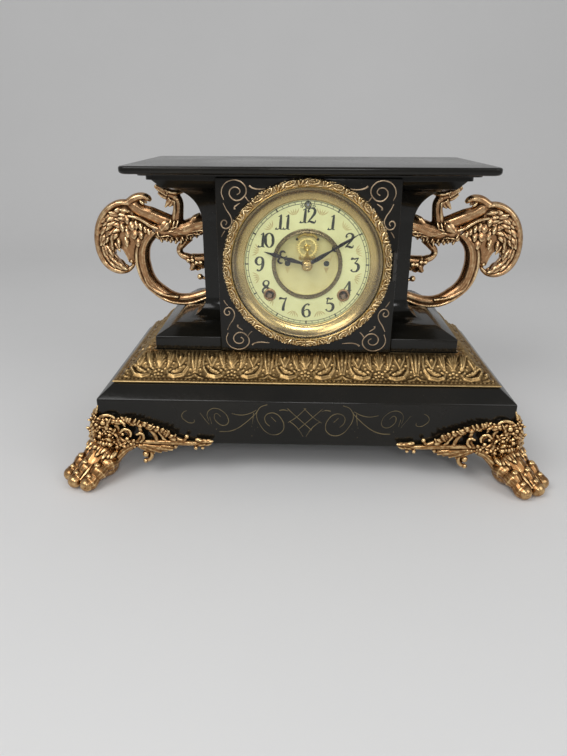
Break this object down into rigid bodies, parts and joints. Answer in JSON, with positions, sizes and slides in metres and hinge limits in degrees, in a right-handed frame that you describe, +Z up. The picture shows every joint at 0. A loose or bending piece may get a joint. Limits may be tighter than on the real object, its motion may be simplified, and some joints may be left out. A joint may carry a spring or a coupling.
{
  "type": "mantel clock",
  "caption": "Black enamelled mantel clock with a visible escapement, gilt griffin handles, a cast gilt band and paw feet; hinged glazed bezel and rear door.",
  "frame": {"origin": "on the table, under the middle of the plinth", "axes": "+X to the right as seen from the front, -Y to the front, where the dial is, +Z up"},
  "size_m": [0.4404, 0.2702, 0.2762],
  "materials": {
    "enamel": "gloss black enamel baked on cast iron",
    "gilt": "cast, gilded in a warm copper gold, dark in the hollows",
    "band_gilt": "cast, antique brass plating",
    "bezel_brass": "satin brass",
    "dial": "pale cream dial, matt, with black print",
    "dial_centre": "yellowed cream, satin",
    "glass": "clear, polished",
    "blued_steel": "dark blued",
    "movement_brass": "plain rolled brass",
    "steel": "bright steel",
    "gong_steel": "blue-black tempered wire",
    "back_iron": "black japanned sheet and casting"
  },
  "bodies": {
    "case": {"back_door_hinge": "steel", "back_plate": "back_iron", "base_plinth": "enamel", "bezel_hinge": "bezel_brass", "dial_centre_plate": "dial_centre", "dial_chapter_ring": "dial", "dial_inner_ring": "bezel_brass", "dial_surround": "bezel_brass", "escapement_bridge": "movement_brass", "foot_back_left": "gilt", "foot_back_right": "gilt", "foot_bolt_1": "steel", "foot_bolt_2": "steel", "foot_bolt_3": "steel", "foot_bolt_4": "steel", "foot_front_left": "gilt", "foot_front_right": "gilt", "front_panel": "enamel", "gilt_band": "band_gilt", "gong": "gong_steel", "gong_stand": "back_iron", "griffin_left": "gilt", "griffin_right": "gilt", "griffin_screw_left": "steel", "griffin_screw_right": "steel", "movement_front_plate": "movement_brass", "movement_rear_plate": "movement_brass", "movement_screw_1": "steel", "movement_screw_2": "steel", "movement_screw_3": "steel", "movement_screw_4": "steel", "side_casting_left": "enamel", "side_casting_right": "enamel", "suspension_cock": "movement_brass", "tie_rod_left": "steel", "tie_rod_right": "steel", "top_slab": "enamel", "winding_eyelet_strike": "bezel_brass", "winding_eyelet_time": "bezel_brass"},
    "bezel_door": {"bezel": "bezel_brass", "dial_glass": "glass"},
    "rear_door": {"back_door": "back_iron", "back_door_knob": "movement_brass"},
    "minute_train": {"minute_hand": "blued_steel", "hand_nut": "bezel_brass", "centre_arbor": "steel"},
    "hour_train": {"hour_hand": "blued_steel", "hour_wheel": "movement_brass"},
    "minute_wheel": {"minute_wheel": "movement_brass"},
    "time_barrel": {"time_barrel": "movement_brass"},
    "strike_barrel": {"strike_barrel": "movement_brass"},
    "winding_arbor_time": {"winding_arbor_time": "steel"},
    "winding_arbor_strike": {"winding_arbor_strike": "steel"},
    "escape_wheel": {"escape_wheel": "movement_brass"},
    "pallets": {"pallets": "movement_brass"},
    "pendulum": {"pendulum_rod": "steel", "pendulum_bob": "movement_brass", "suspension_spring": "steel"},
    "strike_hammer": {"strike_hammer": "steel"},
    "regulator_arbor": {"regulator_arbor": "steel"}
  },
  "joints": [
    {"name": "bezel_swing", "type": "hinge", "parent": "case", "child": "bezel_door", "pos_m": [0.077, -0.0621, 0.1924], "axis": [0, 0, 1], "range_deg": [0, 110]},
    {"name": "rear_door_swing", "type": "hinge", "parent": "case", "child": "rear_door", "pos_m": [0.0568, 0.093, 0.186], "axis": [0, 0, -1], "range_deg": [0, 150]},
    {"name": "minute_hand_turn", "type": "hinge", "parent": "case", "child": "minute_train", "pos_m": [0, -0.05, 0.1924], "axis": [0, 1, 0], "continuous": true},
    {"name": "hour_hand_turn", "type": "hinge", "parent": "case", "child": "hour_train", "pos_m": [0, -0.05, 0.1924], "axis": [0, 1, 0], "continuous": true},
    {"name": "minute_wheel_turn", "type": "hinge", "parent": "case", "child": "minute_wheel", "pos_m": [0.008, -0.05, 0.17854], "axis": [0, 1, 0], "continuous": true},
    {"name": "time_barrel_turn", "type": "hinge", "parent": "case", "child": "time_barrel", "pos_m": [0.0335, -0.02, 0.1644], "axis": [0, 1, 0], "continuous": true},
    {"name": "strike_barrel_turn", "type": "hinge", "parent": "case", "child": "strike_barrel", "pos_m": [-0.0335, -0.02, 0.1644], "axis": [0, 1, 0], "continuous": true},
    {"name": "time_winding_turn", "type": "hinge", "parent": "case", "child": "winding_arbor_time", "pos_m": [0.0335, -0.04, 0.1644], "axis": [0, 1, 0], "continuous": true},
    {"name": "strike_winding_turn", "type": "hinge", "parent": "case", "child": "winding_arbor_strike", "pos_m": [-0.0335, -0.04, 0.1644], "axis": [0, 1, 0], "continuous": true},
    {"name": "escape_wheel_turn", "type": "hinge", "parent": "case", "child": "escape_wheel", "pos_m": [0, -0.05, 0.207], "axis": [0, 1, 0], "continuous": true},
    {"name": "pendulum_swing", "type": "hinge", "parent": "case", "child": "pendulum", "pos_m": [0, 0.0057, 0.2184], "axis": [0, 1, 0], "range_deg": [-4, 4]},
    {"name": "pallet_rock", "type": "hinge", "parent": "case", "child": "pallets", "pos_m": [0, -0.05, 0.2184], "axis": [0, 1, 0], "range_deg": [-4, 4]},
    {"name": "hammer_lift", "type": "hinge", "parent": "case", "child": "strike_hammer", "pos_m": [0.062, 0.05, 0.1284], "axis": [0, 1, 0], "range_deg": [-2.5, 15], "stiffness_Nm_per_rad": 0.25},
    {"name": "regulator_turn", "type": "hinge", "parent": "case", "child": "regulator_arbor", "pos_m": [0, -0.05, 0.2441], "axis": [0, 1, 0], "continuous": true}
  ],
  "couplings": [
    {"joint": "hour_hand_turn", "follows": "minute_hand_turn", "ratio": 0.083333},
    {"joint": "minute_wheel_turn", "follows": "minute_hand_turn", "ratio": -0.33333},
    {"joint": "time_barrel_turn", "follows": "minute_hand_turn", "ratio": -0.16667},
    {"joint": "pallet_rock", "follows": "pendulum_swing", "ratio": 1}
  ]
}
